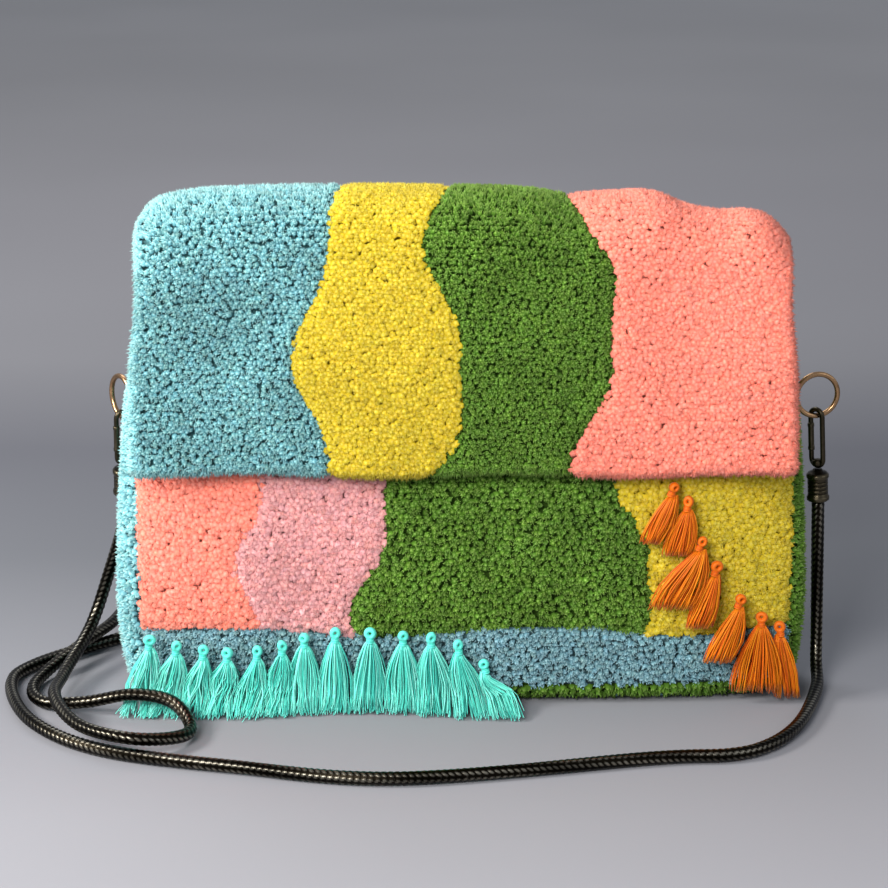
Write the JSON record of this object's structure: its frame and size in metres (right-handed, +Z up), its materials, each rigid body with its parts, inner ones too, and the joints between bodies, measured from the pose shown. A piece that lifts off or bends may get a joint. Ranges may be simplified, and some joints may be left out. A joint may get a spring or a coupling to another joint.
{
  "type": "tufted flap shoulder bag",
  "caption": "Hand-tufted woollen clutch with a fold-over flap, rows of cotton tassels and a round braided chain strap that lies on the floor from a ring at each side.",
  "frame": {"origin": "centre of the pouch's flat bottom, where the bag stands on the floor", "axes": "+X to the bag's right side as seen from its front, +Y from the front to the back, +Z up"},
  "size_m": [0.392, 0.2187, 0.2416],
  "materials": {
    "coral_wool": "cut woollen pile, matt",
    "green_wool": "cut woollen pile, matt",
    "yellow_wool": "cut woollen pile, matt",
    "blue_wool": "cut woollen pile, matt",
    "mauve_wool": "cut woollen pile, matt",
    "slate_wool": "cut woollen pile, matt",
    "cream_lining": "plain woven cotton, matt",
    "turquoise_cotton": "mercerised cotton thread, slight sheen",
    "orange_cotton": "mercerised cotton thread, slight sheen",
    "bronze_ring": "antique bronze, polished",
    "gunmetal_clasp": "dark antique plating, satin",
    "gunmetal_braid": "dark antique plated braided chain, satin"
  },
  "bodies": {
    "root": {"front_panel": "green_wool", "back_panel": "blue_wool", "flap": "coral_wool", "tassel_turquoise_01": "turquoise_cotton", "tassel_turquoise_02": "turquoise_cotton", "tassel_turquoise_03": "turquoise_cotton", "tassel_turquoise_04": "turquoise_cotton", "tassel_turquoise_05": "turquoise_cotton", "tassel_turquoise_06": "turquoise_cotton", "tassel_turquoise_07": "turquoise_cotton", "tassel_turquoise_08": "turquoise_cotton", "tassel_turquoise_09": "turquoise_cotton", "tassel_turquoise_10": "turquoise_cotton", "tassel_turquoise_11": "turquoise_cotton", "tassel_turquoise_12": "turquoise_cotton", "tassel_turquoise_13": "turquoise_cotton", "tassel_orange_1": "orange_cotton", "tassel_orange_2": "orange_cotton", "tassel_orange_3": "orange_cotton", "tassel_orange_4": "orange_cotton", "tassel_orange_5": "orange_cotton", "tassel_orange_6": "orange_cotton", "tassel_orange_7": "orange_cotton", "ring_left": "bronze_ring", "ring_right": "bronze_ring", "hook_left": "gunmetal_clasp", "hook_right": "gunmetal_clasp", "ferrule_left": "gunmetal_clasp", "ferrule_right": "gunmetal_clasp", "strap": "gunmetal_braid"}
  },
  "joints": []
}
